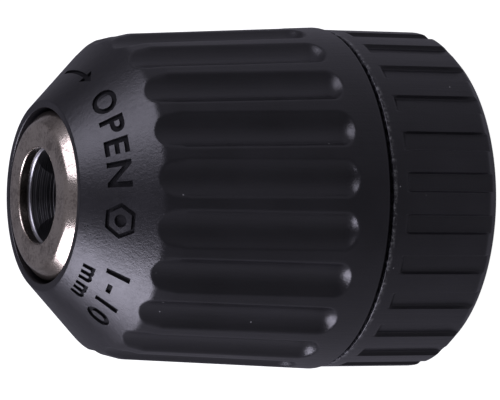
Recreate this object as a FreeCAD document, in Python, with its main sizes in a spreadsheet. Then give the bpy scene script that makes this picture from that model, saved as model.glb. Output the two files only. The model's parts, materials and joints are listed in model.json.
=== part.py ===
import FreeCAD, Part
import math
import os
import re

import Sketcher
from FreeCAD import Placement, Rotation, Vector

# Keyless drill chuck with two sleeves. +Z runs along the chuck's axis towards the nose, and the origin is
# the centre of the flat rear face. Lengths are in millimetres and angles in degrees.

JAW_COUNT = 3
JAW_SPACING = 360 // JAW_COUNT  # degrees
NUT_SWEEP = 105  # each cut of the nut's thread runs this far, in degrees, to both sides of its middle
NUT_STEP = 15
TOLERANCE = 1e-6

SIZES = [
    # body, from the rear
    ("tailRadius", 10.0, "tail that the rear sleeve is pressed on"),
    ("tailChamfer", 0.4, "rear edge of the tail and of the nose spigot"),
    ("tailLength", 20.0, "rear face to the thrust flange"),
    ("socketRadius", 4.7625, "spindle socket, 3/8 inch across its thread's roots"),
    ("socketDepth", 14.5, "depth of the spindle socket"),
    ("socketChamfer", 0.6, "lead-in of the spindle socket"),
    ("screwHoleRadius", 2.7, "clearance hole for a locking screw"),
    ("webThickness", 3.5, "web between the socket and the bit cavity"),
    ("cavityRadius", 5.05, "bit cavity"),
    ("cavityChamfer", 0.3, "chamfer at the bit cavity's mouth"),
    ("flangeThickness", 4.0, "thrust flange"),
    ("flangeWall", 2.69, "thrust flange outside the jaw bores"),
    ("pilotWall", 0.39, "land that centres the races, outside the jaw bores"),
    ("shoulderLength", 5.2, "from the nut's groove to the nose ring"),
    ("shoulderWall", 0.81, "the body there, outside the jaw bores"),
    ("spigotLength", 6.62, "spigot that the nose ring is pressed on"),
    ("spigotWall", 1.1, "that spigot, outside the jaw bores"),
    # jaws
    ("jawAngle", 18.0, "slope of the jaws to the chuck's axis"),
    ("jawRadius", 3.2, "round stock that the jaws are made from"),
    ("jawClearance", 0.05, "jaw in its bore, on the radius"),
    ("jawInset", 0.1, "jaw bores inside the bit cavity's edge at the nose face"),
    ("jawTipDepth", 2.52, "open jaws' tips behind the nose face"),
    ("jawHold", 0.77, "closed jaws' rear ends ahead of the nut's rear face"),
    ("jawTailGap", 0.7, "bores run this far past the jaws' rear ends"),
    ("openGap", 0.15, "jaw faces behind the bit cavity's wall when open"),
    ("closedRadius", 0.4, "jaw faces from the axis when closed"),
    ("jawGap", 0.1, "half the gap between closed jaws"),
    # jaw thread and split nut
    ("threadPitch", 1.5875, "16 threads per inch along a jaw"),
    ("toothDepth", 0.5, "nut thread's reach into the jaws"),
    ("toothCrest", 0.35, "width of the nut thread's crest"),
    ("flankAngle", 20.0, "slope of the thread flanks"),
    ("threadGap", 0.18, "play in the thread"),
    ("threadCut", 0.2, "nut thread's cutter past the crests"),
    ("toothRootGap", 0.12, "nut thread's roots clear of the jaws"),
    ("nutSplit", 0.08, "gap between the nut's halves"),
    ("nutLength", 5.5, "length of the split nut"),
    ("nutWall", 2.76, "split nut outside its thread at the rear"),
    ("nutPlay", 0.3, "split nut to the ends of its groove"),
    ("nutGrooveGap", 0.44, "split nut round the floor of its groove"),
    ("bandThickness", 1.5, "band round the split nut"),
    # thrust bearing
    ("ballCount", 15, "balls"),
    ("ballRadius", 1.0, "balls"),
    ("pocketGap", 0.06, "balls in the cage"),
    ("cageWall", 0.61, "cage inside and outside the balls"),
    ("cageThickness", 1.0, "cage"),
    ("raceGap", 0.06, "races and cage on their land"),
    ("rearRaceThickness", 0.7, "rear race"),
    ("frontRaceThickness", 0.8, "front race"),
    # nose ring
    ("ringHoleRadius", 5.15, "hole in the nose ring, for a 10 mm shank"),
    ("ringSheet", 1.05, "thickness of the nose ring's face"),
    ("ringSkirt", 0.96, "thickness of the nose ring's skirt"),
    ("ringBevel", 1.45, "bevel on the nose ring's front edge"),
    ("ringRound", 0.5, "rounded edges of that bevel"),
    ("ringHoleRound", 0.2, "rounded edge of its hole"),
    ("ringFlangeReach", 1.44, "flange that holds the front sleeve on"),
    ("ringFlangeThickness", 0.9, "thickness of that flange"),
    # front sleeve
    ("sleeveRear", 13.4, "rear edge of the front sleeve"),
    ("sleevePlay", 0.3, "front sleeve round the thrust flange"),
    ("sleeveWall", 1.75, "front sleeve under its flutes, at the widest part"),
    ("sleeveEdge", 0.55, "rear edge inside the widest part"),
    ("collarRise", 0.45, "rear edge to the widest part"),
    ("collarBevel", 0.14, "bevel between the rear edge and the widest part"),
    ("gripTaper", 1.33, "fall of the grip's radius from the widest part to its front"),
    ("shoulderFall", 0.59, "fall of the radius over the sleeve's shoulder"),
    ("shoulderRun", 2.27, "length of the sleeve's shoulder"),
    ("coneLength", 6.82, "length of the cone"),
    ("coneSetback", 0.64, "front edge of the cone behind the nose ring's face"),
    ("coneLip", 0.77, "flat front edge of the cone"),
    ("seatStep", 0.6, "step that the band is pressed up to"),
    ("noseBoreLength", 3.1, "straight bore ahead of the band's seat"),
    ("lipGap", 0.2, "front sleeve round the nose ring and inside the rear sleeve"),
    ("lipPlay", 0.25, "front sleeve ahead of the nose ring's flange"),
    ("lipThickness", 0.7, "lip that closes the gap between the sleeves"),
    ("lipLength", 1.55, "reach of that lip into the rear sleeve"),
    ("fluteCount", 21, "flutes"),
    ("fluteRadius", 2.8, "ball cutter of the flutes"),
    ("fluteDepth", 0.95, "depth of the flutes"),
    ("fluteSetback", 5.8, "flutes' rear ball centres ahead of the rear edge"),
    ("fluteTurn", 6.3, "angle of the first flute from +X"),
    # rear sleeve
    ("partingGap", 0.25, "gap between the two sleeves"),
    ("rearSetback", 0.15, "rear sleeve's widest part inside the front sleeve's"),
    ("rearTaper", 0.07, "fall of its radius towards the front"),
    ("rearFall", 1.31, "fall of its radius over the rear chamfer"),
    ("rearRise", 1.52, "height of the rear chamfer"),
    ("rearEdge", 0.12, "chamfer on the front edge"),
    ("rimWidth", 0.94, "flat rear rim"),
    ("hubWall", 2.4, "hub round the tail"),
    ("hubFront", 9.5, "front of the hub"),
    ("webFront", 3.6, "front of the web"),
    ("ribCount", 6, "ribs between hub and shell"),
    ("ribThickness", 1.4, "ribs"),
    ("ribRise", 4.9, "ribs above the web"),
    ("grooveCount", 26, "fine grooves"),
    ("grooveRadius", 1.15, "ball cutter of the grooves"),
    ("grooveDepth", 0.45, "depth of the grooves"),
    ("grooveSetback", 3.0, "ball centres of the grooves behind the front edge"),
    ("grooveTurn", 5.5, "angle of the first groove from +X"),
    # back plate
    ("plateThickness", 1.0, "thickness of the back plate"),
]

# Sizes that follow from those above, so that neighbouring pieces keep their fits.
WORKED_OUT = [
    ("slope", "tan(jawAngle)"),
    ("boreRadius", "jawRadius + jawClearance"),
    # heights up the axis
    ("flangeFront", "tailLength + flangeThickness"),
    ("frontRaceRear", "flangeFront + rearRaceThickness + 2 * ballRadius"),
    ("nutRear", "frontRaceRear + frontRaceThickness"),
    ("nutFront", "nutRear + nutLength"),
    ("grooveFront", "nutFront + nutPlay"),
    ("shoulderFront", "grooveFront + shoulderLength"),
    ("bodyLength", "shoulderFront + spigotLength"),
    ("ringFront", "bodyLength + ringSheet"),
    ("ringFlangeFront", "shoulderFront + ringFlangeThickness"),
    ("coneFront", "ringFront - coneSetback"),
    ("coneRear", "coneFront - coneLength"),
    ("gripFront", "coneRear - shoulderRun"),
    ("rearSleeveFront", "sleeveRear - partingGap"),
    # jaws
    ("openRadius", "cavityRadius + openGap"),
    ("jawAxisFoot", "cavityRadius - jawInset - boreRadius / cos(jawAngle) + bodyLength * slope"),
    ("boreFoot", "jawAxisFoot + boreRadius / cos(jawAngle)"),
    ("jawFoot", "jawAxisFoot + jawRadius / cos(jawAngle)"),
    ("jawTravel", "(openRadius - closedRadius) / sin(jawAngle)"),
    ("jawTip", "bodyLength - jawTipDepth"),
    ("jawTail", "nutRear + jawHold - jawTravel * cos(jawAngle)"),
    ("pitchHeight", "threadPitch * cos(jawAngle)"),
    # radii from the jaw bores outwards
    ("spigotRadius", "boreFoot - shoulderFront * slope + spigotWall"),
    ("ringRadius", "spigotRadius + ringSkirt"),
    ("ringFlangeRadius", "ringRadius + ringFlangeReach"),
    ("shoulderRadius", "boreFoot - grooveFront * slope + shoulderWall"),
    ("nutGrooveRadius", "jawFoot - nutFront * slope - toothDepth - nutGrooveGap"),
    ("nutRadius", "jawFoot - nutRear * slope + toothRootGap + nutWall"),
    ("bandRadius", "nutRadius + bandThickness"),
    ("pilotRadius", "boreFoot - flangeFront * slope + pilotWall"),
    ("raceBore", "pilotRadius + raceGap"),
    ("ballCircle", "raceBore + cageWall + pocketGap + ballRadius"),
    ("raceRadius", "ballCircle + ballRadius + pocketGap + cageWall"),
    ("flangeRadius", "boreFoot - tailLength * slope + flangeWall"),
    # front sleeve
    ("sleeveBore", "flangeRadius + sleevePlay"),
    ("noseBore", "bandRadius - seatStep"),
    ("lipRadius", "sleeveBore + lipThickness"),
    ("collarRadius", "sleeveBore + sleeveWall + fluteDepth"),
    ("gripFrontRadius", "collarRadius - gripTaper"),
    ("coneRearRadius", "gripFrontRadius - shoulderFall"),
    ("noseLipRadius", "ringRadius + lipGap"),
    ("coneFrontRadius", "noseLipRadius + coneLip"),
    ("gripSlope", "gripTaper / (gripFront - sleeveRear - collarRise)"),
    # rear sleeve
    ("rearShellBore", "lipRadius + lipGap"),
    ("rearRadius", "collarRadius - rearSetback"),
    ("rearFrontRadius", "rearRadius - rearTaper"),
    ("rearRimRadius", "rearRadius - rearFall"),
    ("plateRadius", "rearRimRadius - rimWidth"),
    ("hubRadius", "tailRadius + hubWall"),
]

doc = FreeCAD.newDocument("DrillChuck")
sheet = doc.addObject("Spreadsheet::Sheet", "Sizes")
for row, (alias, value, note) in enumerate(SIZES, start=1):
    sheet.set("A%d" % row, note)
    sheet.set("B%d" % row, str(value))
    sheet.setAlias("B%d" % row, alias)
for row, (alias, formula) in enumerate(WORKED_OUT, start=len(SIZES) + 1):
    sheet.set("B%d" % row, "=" + formula)
    sheet.setAlias("B%d" % row, alias)
doc.recompute()

aliases = {entry[0] for entry in SIZES + WORKED_OUT}


def size(formula):
    """The number that a formula on the sheet's cells gives now."""
    result = sheet.evalExpression(formula)
    return float(getattr(result, "Value", result))


def linked(formula):
    """The same formula as another object has to write it, with the sheet named."""
    return re.sub(r"[A-Za-z]+", lambda word: "Sizes." + word[0] if word[0] in aliases else word[0], formula)


def new_body(label):
    body = doc.addObject("PartDesign::Body", label)
    body.Label = label
    return body


def plane_sketch(body, name, role):
    """A sketch on one of the body's own origin planes."""
    plane = next(part for part in body.Origin.OriginFeatures if part.Role == role)
    sketch = body.newObject("Sketcher::SketchObject", name)
    sketch.AttachmentSupport = [(plane, "")]
    sketch.MapMode = "FlatFace"
    return sketch


def pin_point(sketch, line, end, across, up):
    """Ties one line end to the sheet: its place across and up from the sketch's origin."""
    for kind, formula, axis in (("DistanceX", across, -2), ("DistanceY", up, -1)):
        value = size(formula)
        if abs(value) < TOLERANCE:
            sketch.addConstraint(Sketcher.Constraint("PointOnObject", line, end, axis))
            continue
        place = sketch.addConstraint(Sketcher.Constraint(kind, -1, 1, line, end, value))
        sketch.setExpression("Constraints[%d]" % place, linked(formula))


def outline(sketch, corners):
    """A closed outline of straight lines whose corners are pairs of formulas."""
    spots = [Vector(size(across), size(up), 0) for across, up in corners]
    first = sketch.GeometryCount
    for spot, following in zip(spots, spots[1:] + spots[:1]):
        sketch.addGeometry(Part.LineSegment(spot, following), False)
    for number, (across, up) in enumerate(corners):
        following = (number + 1) % len(corners)
        sketch.addConstraint(Sketcher.Constraint("Coincident", first + number, 2, first + following, 1))
        pin_point(sketch, first + number, 1, across, up)


def turned(body, name, corners):
    """A solid of revolution about Z from an outline of (radius, height) formulas."""
    sketch = plane_sketch(body, name + "_profile", "XZ_Plane")
    outline(sketch, corners)
    solid = body.newObject("PartDesign::Revolution", name)
    solid.Profile = sketch
    solid.ReferenceAxis = (sketch, ["V_Axis"])
    solid.Angle = 360.0
    doc.recompute()
    return solid


def turned_cut(body, name, sketch, axis):
    """Cuts a sketch, turned a full circle about one of its own axes, out of the body."""
    before = body.Shape.Volume
    cut = body.newObject("PartDesign::Groove", name)
    cut.Profile = sketch
    cut.ReferenceAxis = (sketch, [axis])
    cut.Angle = 360.0
    doc.recompute()
    must_change(body, name, before)
    return cut


def pattern(body, feature, name, count):
    """Repeats a feature round the body's Z axis."""
    axis = next(part for part in body.Origin.OriginFeatures if part.Role == "Z_Axis")
    before = body.Shape.Volume
    ring = body.newObject("PartDesign::PolarPattern", name)
    ring.Originals = [feature]
    ring.Axis = (axis, [""])
    ring.Angle = 360.0
    ring.setExpression("Occurrences", linked(count))
    body.Tip = ring
    doc.recompute()
    must_change(body, name, before)
    return ring


def must_change(body, name, before):
    if abs(body.Shape.Volume - before) < TOLERANCE:
        raise ValueError(name + " changed nothing")


def round_edges(body, name, rings, radius):
    """Rounds the circular edges that lie at the given (radius, height) formulas."""
    wanted = [(size(across), size(up)) for across, up in rings]
    found = []
    for number, edge in enumerate(body.Shape.Edges, start=1):
        if not isinstance(edge.Curve, Part.Circle):
            continue
        centre = edge.Curve.Center
        for across, up in wanted:
            if abs(edge.Curve.Radius - across) < TOLERANCE and abs(centre.z - up) < TOLERANCE:
                found.append("Edge%d" % number)
    base = body.Tip
    fillet = body.newObject("PartDesign::Fillet", name)
    fillet.Base = (base, found)
    fillet.setExpression("Radius", linked(radius))
    doc.recompute()
    return fillet


def ball_cutter(body, name, start, heading, reach, radius):
    """Cuts a round-bottomed channel: a ball at start (radius, height), then a rod of the same radius
    that runs on for reach, heading being its angle inwards from +Z."""
    across, up = start
    along = ("-sin(%s)" % heading, "cos(%s)" % heading)
    aside = ("cos(%s)" % heading, "sin(%s)" % heading)
    end = ("%s + (%s) * (%s)" % (across, reach, along[0]), "%s + (%s) * (%s)" % (up, reach, along[1]))
    corners = [
        ("%s - (%s) * (%s)" % (across, radius, along[0]), "%s - (%s) * (%s)" % (up, radius, along[1])),
        end,
        ("%s + (%s) * (%s)" % (end[0], radius, aside[0]), "%s + (%s) * (%s)" % (end[1], radius, aside[1])),
        ("%s + (%s) * (%s)" % (across, radius, aside[0]), "%s + (%s) * (%s)" % (up, radius, aside[1])),
    ]
    spots = [Vector(size(x), size(y), 0) for x, y in corners]
    turn = math.radians(size(heading))
    circle = Part.Circle(Vector(size(across), size(up), 0), Vector(0, 0, 1), size(radius))
    sketch = plane_sketch(body, name + "_profile", "XZ_Plane")
    for number in range(3):
        sketch.addGeometry(Part.LineSegment(spots[number], spots[number + 1]), False)
        pin_point(sketch, number, 1, *corners[number])
    sketch.addGeometry(Part.ArcOfCircle(circle, turn - math.pi / 2, turn), False)
    pin_point(sketch, 2, 2, *corners[3])
    for line, end, following, beginning in ((0, 2, 1, 1), (1, 2, 2, 1), (2, 2, 3, 2), (3, 1, 0, 1)):
        sketch.addConstraint(Sketcher.Constraint("Coincident", line, end, following, beginning))
    rounding = sketch.addConstraint(Sketcher.Constraint("Radius", 3, size(radius)))
    sketch.setExpression("Constraints[%d]" % rounding, linked(radius))
    centre_line(sketch, spots[0], spots[1])
    return turned_cut(body, name, sketch, "Axis0")


def centre_line(sketch, start, end):
    """A construction line along the outline's first line, to turn the outline about."""
    line = sketch.addGeometry(Part.LineSegment(start, end), True)
    sketch.addConstraint(Sketcher.Constraint("Coincident", line, 1, 0, 1))
    sketch.addConstraint(Sketcher.Constraint("Coincident", line, 2, 0, 2))


# Body: turned all over, then bored three times for the jaws.

def jaw_axis(height):
    """Radius formula of a jaw's axis at a height."""
    return "jawAxisFoot - (%s) * slope" % height


def jaw_rod(sketch, radius, rear, front):
    """Half outline of a rod on a jaw's axis, with the axis itself as the sketch's own axis."""
    out = "(%s) * cos(jawAngle)" % radius
    rise = "(%s) * sin(jawAngle)" % radius
    outline(sketch, [
        (jaw_axis(rear), rear),
        (jaw_axis(front), front),
        (jaw_axis(front) + " + " + out, front + " + " + rise),
        (jaw_axis(rear) + " + " + out, rear + " + " + rise),
    ])
    rear_spot = Vector(size(jaw_axis(rear)), size(rear), 0)
    front_spot = Vector(size(jaw_axis(front)), size(front), 0)
    centre_line(sketch, rear_spot, front_spot)


body = new_body("body")
turned(body, "body_blank", [
    ("socketRadius + socketChamfer", "0"),
    ("tailRadius - tailChamfer", "0"),
    ("tailRadius", "tailChamfer"),
    ("tailRadius", "tailLength"),
    ("flangeRadius", "tailLength"),
    ("flangeRadius", "flangeFront"),
    ("pilotRadius", "flangeFront"),
    ("pilotRadius", "nutRear - nutPlay"),
    ("nutGrooveRadius", "nutRear - nutPlay"),
    ("nutGrooveRadius", "grooveFront"),
    ("shoulderRadius", "grooveFront"),
    ("shoulderRadius", "shoulderFront"),
    ("spigotRadius", "shoulderFront"),
    ("spigotRadius", "bodyLength - tailChamfer"),
    ("spigotRadius - tailChamfer", "bodyLength"),
    ("cavityRadius + cavityChamfer", "bodyLength"),
    ("cavityRadius", "bodyLength - cavityChamfer"),
    ("cavityRadius", "socketDepth + webThickness"),
    ("screwHoleRadius", "socketDepth + webThickness"),
    ("screwHoleRadius", "socketDepth"),
    ("socketRadius", "socketDepth"),
    ("socketRadius", "socketChamfer"),
])
for number in range(JAW_COUNT):
    bore_sketch = plane_sketch(body, "jaw_bore_profile", "XZ_Plane")
    bore_sketch.AttachmentOffset = Placement(Vector(0, 0, 0), Rotation(Vector(0, 1, 0), JAW_SPACING * number))
    jaw_rod(bore_sketch, "boreRadius", "jawTail - jawTailGap", "bodyLength + boreRadius")
    turned_cut(body, "jaw_bore", bore_sketch, "Axis0")

# Nose ring: pressed sheet cup with a flange behind, which keeps the front sleeve on.

nose_ring = new_body("nose_ring")
turned(nose_ring, "nose_ring_blank", [
    ("ringHoleRadius", "bodyLength"),
    ("ringHoleRadius", "ringFront"),
    ("ringRadius - ringBevel", "ringFront"),
    ("ringRadius", "ringFront - ringBevel"),
    ("ringRadius", "ringFlangeFront"),
    ("ringFlangeRadius", "ringFlangeFront"),
    ("ringFlangeRadius", "shoulderFront"),
    ("spigotRadius", "shoulderFront"),
    ("spigotRadius", "bodyLength - tailChamfer"),
    ("spigotRadius - tailChamfer", "bodyLength"),
])
bevel_edges = [("ringRadius - ringBevel", "ringFront"), ("ringRadius", "ringFront - ringBevel")]
round_edges(nose_ring, "nose_ring_bevel", bevel_edges, "ringRound")
round_edges(nose_ring, "nose_ring_hole_edge", [("ringHoleRadius", "ringFront")], "ringHoleRound")

# Front sleeve: a thin lip inside the rear sleeve, a collar, the fluted grip and the cone.

front_sleeve = new_body("front_sleeve")
turned(front_sleeve, "front_sleeve_blank", [
    ("sleeveBore", "sleeveRear - lipLength"),
    ("lipRadius", "sleeveRear - lipLength"),
    ("lipRadius", "sleeveRear"),
    ("collarRadius - sleeveEdge", "sleeveRear"),
    ("collarRadius - collarBevel", "sleeveRear + collarBevel"),
    ("collarRadius", "sleeveRear + collarRise"),
    ("gripFrontRadius", "gripFront"),
    ("coneRearRadius", "coneRear"),
    ("coneFrontRadius", "coneFront"),
    ("noseLipRadius", "coneFront"),
    ("noseLipRadius", "ringFlangeFront + lipPlay"),
    ("ringFlangeRadius + 2 * lipGap", "ringFlangeFront + lipPlay"),
    ("noseBore", "nutFront + lipGap + noseBoreLength"),
    ("noseBore", "nutFront + lipGap"),
    ("bandRadius", "nutFront + lipGap"),
    ("bandRadius", "nutRear"),
    ("sleeveBore", "nutRear"),
])
flute_start = (
    "collarRadius - gripSlope * (fluteSetback - collarRise) + fluteRadius - fluteDepth",
    "sleeveRear + fluteSetback",
)
flute_reach = "coneFront - sleeveRear - fluteSetback"
flute = ball_cutter(front_sleeve, "flute", flute_start, "atan(gripSlope)", flute_reach, "fluteRadius")
pattern(front_sleeve, flute, "flutes", "fluteCount")
front_sleeve.Placement = Placement(Vector(0, 0, 0), Rotation(Vector(0, 0, 1), size("fluteTurn")))

# Rear sleeve: hub, web, ribs and grooved shell.

rear_sleeve = new_body("rear_sleeve")
turned(rear_sleeve, "rear_sleeve_blank", [
    ("plateRadius", "0"),
    ("rearRimRadius", "0"),
    ("rearRadius", "rearRise"),
    ("rearFrontRadius", "rearSleeveFront - rearEdge"),
    ("rearFrontRadius - rearEdge", "rearSleeveFront"),
    ("rearShellBore", "rearSleeveFront"),
    ("rearShellBore", "webFront"),
    ("hubRadius", "webFront"),
    ("hubRadius", "hubFront"),
    ("tailRadius", "hubFront"),
    ("tailRadius", "plateThickness"),
    ("plateRadius", "plateThickness"),
])
rib_sketch = plane_sketch(rear_sleeve, "rib_profile", "XY_Plane")
rib_sketch.setExpression("AttachmentOffset.Base.z", linked("webFront"))
outline(rib_sketch, [
    ("hubRadius - ribThickness / 2", "-ribThickness / 2"),
    ("rearShellBore + ribThickness / 2", "-ribThickness / 2"),
    ("rearShellBore + ribThickness / 2", "ribThickness / 2"),
    ("hubRadius - ribThickness / 2", "ribThickness / 2"),
])
volume_before_rib = rear_sleeve.Shape.Volume
rib = rear_sleeve.newObject("PartDesign::Pad", "rib")
rib.Profile = rib_sketch
rib.setExpression("Length", linked("ribRise"))
doc.recompute()
must_change(rear_sleeve, "rib", volume_before_rib)
pattern(rear_sleeve, rib, "ribs", "ribCount")
groove_start = ("rearRadius + grooveRadius - grooveDepth", "rearSleeveFront - grooveSetback")
groove = ball_cutter(rear_sleeve, "groove", groove_start, "180", "rearSleeveFront", "grooveRadius")
pattern(rear_sleeve, groove, "grooves", "grooveCount")
rear_sleeve.Placement = Placement(Vector(0, 0, 0), Rotation(Vector(0, 0, 1), size("grooveTurn")))

# Back plate: steel disc on the tail, behind the rear sleeve.

back_plate = new_body("back_plate")
turned(back_plate, "back_plate_blank", [
    ("tailRadius", "0"),
    ("plateRadius", "0"),
    ("plateRadius", "plateThickness"),
    ("tailRadius", "plateThickness"),
])

# Thrust bearing: two washers, a cage and its balls.

rear_race = new_body("rear_race")
turned(rear_race, "rear_race_blank", [
    ("raceBore", "flangeFront"),
    ("raceRadius", "flangeFront"),
    ("raceRadius", "flangeFront + rearRaceThickness"),
    ("raceBore", "flangeFront + rearRaceThickness"),
])
front_race = new_body("front_race")
turned(front_race, "front_race_blank", [
    ("raceBore", "frontRaceRear"),
    ("raceRadius", "frontRaceRear"),
    ("raceRadius", "nutRear"),
    ("raceBore", "nutRear"),
])
ball_cage = new_body("ball_cage")
ball_height = "flangeFront + rearRaceThickness + ballRadius"
turned(ball_cage, "ball_cage_blank", [
    ("raceBore", ball_height + " - cageThickness / 2"),
    ("raceRadius", ball_height + " - cageThickness / 2"),
    ("raceRadius", ball_height + " + cageThickness / 2"),
    ("raceBore", ball_height + " + cageThickness / 2"),
])
pocket_sketch = plane_sketch(ball_cage, "pocket_profile", "XY_Plane")
pocket_sketch.setExpression("AttachmentOffset.Base.z", linked(ball_height))
pocket_circle = Part.Circle(Vector(size("ballCircle"), 0, 0), Vector(0, 0, 1), size("ballRadius + pocketGap"))
pocket_sketch.addGeometry(pocket_circle, False)
pin_point(pocket_sketch, 0, 3, "ballCircle", "0")
pocket_size = pocket_sketch.addConstraint(Sketcher.Constraint("Radius", 0, size("ballRadius + pocketGap")))
pocket_sketch.setExpression("Constraints[%d]" % pocket_size, linked("ballRadius + pocketGap"))
volume_before_pocket = ball_cage.Shape.Volume
pocket = ball_cage.newObject("PartDesign::Pocket", "ball_pocket")
pocket.Profile = pocket_sketch
pocket.Type = "ThroughAll"
pocket.Midplane = True
doc.recompute()
must_change(ball_cage, "ball_pocket", volume_before_pocket)
pattern(ball_cage, pocket, "ball_pockets", "ballCount")

balls = []
for number in range(int(size("ballCount"))):
    ball = doc.addObject("Part::Sphere", "ball_%02d" % (number + 1))
    ball.setExpression("Radius", linked("ballRadius"))
    turn = "(%d * 360 / ballCount)" % number
    ball.setExpression("Placement.Base.x", linked("ballCircle * cos(%s)" % turn))
    ball.setExpression("Placement.Base.y", linked("ballCircle * sin(%s)" % turn))
    ball.setExpression("Placement.Base.z", linked(ball_height))
    balls.append(ball)


# Jaws: round stock on a slope, faced to three flats that meet when closed, with a thread outside. The
# thread of each jaw is a third of a pitch further forward than that of the jaw before.

def thread_flank(depth):
    """Half width of the nut's thread at a depth below the jaws' outer line."""
    return "(toothCrest / 2 + (toothDepth - (%s)) * tan(flankAngle))" % depth


def jaw_line(height):
    """Radius formula of the jaws' outer line at a height."""
    return "(jawFoot - (%s) * slope)" % height


def make_jaw(label, share):
    jaw = new_body(label)
    blank_sketch = plane_sketch(jaw, label + "_profile", "XZ_Plane")
    jaw_rod(blank_sketch, "jawRadius", "jawTail", "bodyLength")
    blank = jaw.newObject("PartDesign::Revolution", label + "_blank")
    blank.Profile = blank_sketch
    blank.ReferenceAxis = (blank_sketch, ["Axis0"])
    blank.Angle = 360.0
    doc.recompute()

    tip_sketch = plane_sketch(jaw, label + "_tip_profile", "XZ_Plane")
    outline(tip_sketch, [
        ("-2 * jawRadius", "jawTip"),
        ("jawAxisFoot", "jawTip"),
        ("jawAxisFoot", "bodyLength + 2 * jawRadius"),
        ("-2 * jawRadius", "bodyLength + 2 * jawRadius"),
    ])
    cut_through(jaw, label + "_tip", tip_sketch)

    face_sketch = plane_sketch(jaw, label + "_face_profile", "XY_Plane")
    spread = "tan(%d)" % (JAW_SPACING // 2)
    corner = "(closedRadius * %s - 2 * jawGap)" % spread
    side = "(2 * jawRadius)"
    reach = "(openRadius + (%s - %s) / %s)" % (side, corner, spread)
    outline(face_sketch, [
        ("-2 * jawRadius", "-%s" % side),
        (reach, "-%s" % side),
        ("openRadius", "-%s" % corner),
        ("openRadius", corner),
        (reach, side),
        ("-2 * jawRadius", side),
    ])
    cut_through(jaw, label + "_faces", face_sketch)

    thread_sketch = plane_sketch(jaw, label + "_thread_profile", "XZ_Plane")
    rear = size("jawTail + jawRadius * sin(jawAngle)")
    start = size("nutRear + pitchHeight * %s" % share)
    first = math.floor((rear - start) / size("pitchHeight"))
    last = math.ceil((size("nutFront") - start) / size("pitchHeight"))
    for turn in range(first, last + 1):
        middle = "(nutRear + pitchHeight * (%s + %d))" % (share, turn)
        above = "(%s + threadGap)" % thread_flank("-toothDepth")
        below = "(%s + threadGap)" % thread_flank("toothDepth + threadGap")
        outline(thread_sketch, [
            (jaw_line(middle) + " - toothDepth - threadGap", middle + " - " + below),
            (jaw_line(middle) + " + toothDepth", middle + " - " + above),
            (jaw_line(middle) + " + toothDepth", middle + " + " + above),
            (jaw_line(middle) + " - toothDepth - threadGap", middle + " + " + below),
        ])
    turned_cut(jaw, label + "_thread", thread_sketch, "V_Axis")
    return jaw


def cut_through(body, name, sketch):
    """Pockets a sketch through the whole body, both ways."""
    before = body.Shape.Volume
    cut = body.newObject("PartDesign::Pocket", name)
    cut.Profile = sketch
    cut.Type = "ThroughAll"
    cut.Midplane = True
    doc.recompute()
    must_change(body, name, before)


jaws = []
for number in range(JAW_COUNT):
    jaw = make_jaw("jaw_%d" % (number + 1), "%d / %d" % (number, JAW_COUNT))
    jaw.Placement = Placement(Vector(0, 0, 0), Rotation(Vector(0, 0, 1), JAW_SPACING * number))
    jaws.append(jaw)

# Split nut: a right-hand thread on a cone, cut before the nut is split, and the band that holds it.

nut_band = new_body("nut_band")
turned(nut_band, "nut_band_blank", [
    ("nutRadius", "nutRear"),
    ("bandRadius", "nutRear"),
    ("bandRadius", "nutFront"),
    ("nutRadius", "nutFront"),
])


def nut_groove(turn):
    """Cutter for half a turn of the nut's thread, swept along a spiral on the jaws' outer line."""
    def spot(angle, across, along):
        height = size("nutRear") + size("pitchHeight") * (turn + angle / 360.0) + along
        radius = size(jaw_line("nutRear")) - size("slope") * (height - along - size("nutRear")) + across
        turned_by = math.radians(angle)
        return Vector(radius * math.cos(turned_by), radius * math.sin(turned_by), height)

    spiral = Part.BSplineCurve()
    spiral.interpolate([spot(angle, 0, 0) for angle in range(-NUT_SWEEP, NUT_SWEEP + 1, NUT_STEP)])
    below = size("-(toothDepth + threadCut)")
    root = size("pitchHeight / 2 - %s" % thread_flank("-toothRootGap"))
    mouth = size("pitchHeight / 2 - %s" % thread_flank("toothDepth + threadCut"))
    corners = [(below, -mouth), (size("toothRootGap"), -root), (size("toothRootGap"), root), (below, mouth)]
    section = Part.makePolygon([spot(-NUT_SWEEP, *corner) for corner in corners + corners[:1]])
    sweep = Part.BRepOffsetAPI.MakePipeShell(Part.Wire([spiral.toShape()]))
    sweep.setBiNormalMode(Vector(0, 0, 1))
    sweep.add(section, False, False)
    sweep.build()
    sweep.makeSolid()
    return sweep.shape()


def make_nut_half(label, shift):
    """One half of the nut, its own middle on +X; shift moves its thread along by a part of a turn."""
    rear = size("nutRear")
    length = size("nutLength")
    crests = [size(jaw_line(height) + " - toothDepth") for height in ("nutRear", "nutFront")]
    blank = Part.makeCylinder(size("nutRadius"), length, Vector(0, 0, rear))
    blank = blank.cut(Part.makeCone(crests[0], crests[1], length, Vector(0, 0, rear)))
    width = 2 * size("nutRadius")
    half = blank.common(Part.makeBox(width, 2 * width, length, Vector(size("nutSplit") / 2, -width, rear)))
    for turn in range(-2, math.ceil(size("nutLength / pitchHeight"))):
        half = half.cut(nut_groove(turn + 0.5 + shift))
    nut = doc.addObject("Part::Feature", label)
    nut.Shape = half
    return nut


nut_half_a = make_nut_half("nut_half_a", 0.0)
nut_half_b = make_nut_half("nut_half_b", 0.5)
nut_half_b.Placement = Placement(Vector(0, 0, 0), Rotation(Vector(0, 0, 1), 180))

# Write every piece after checking it.

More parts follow.
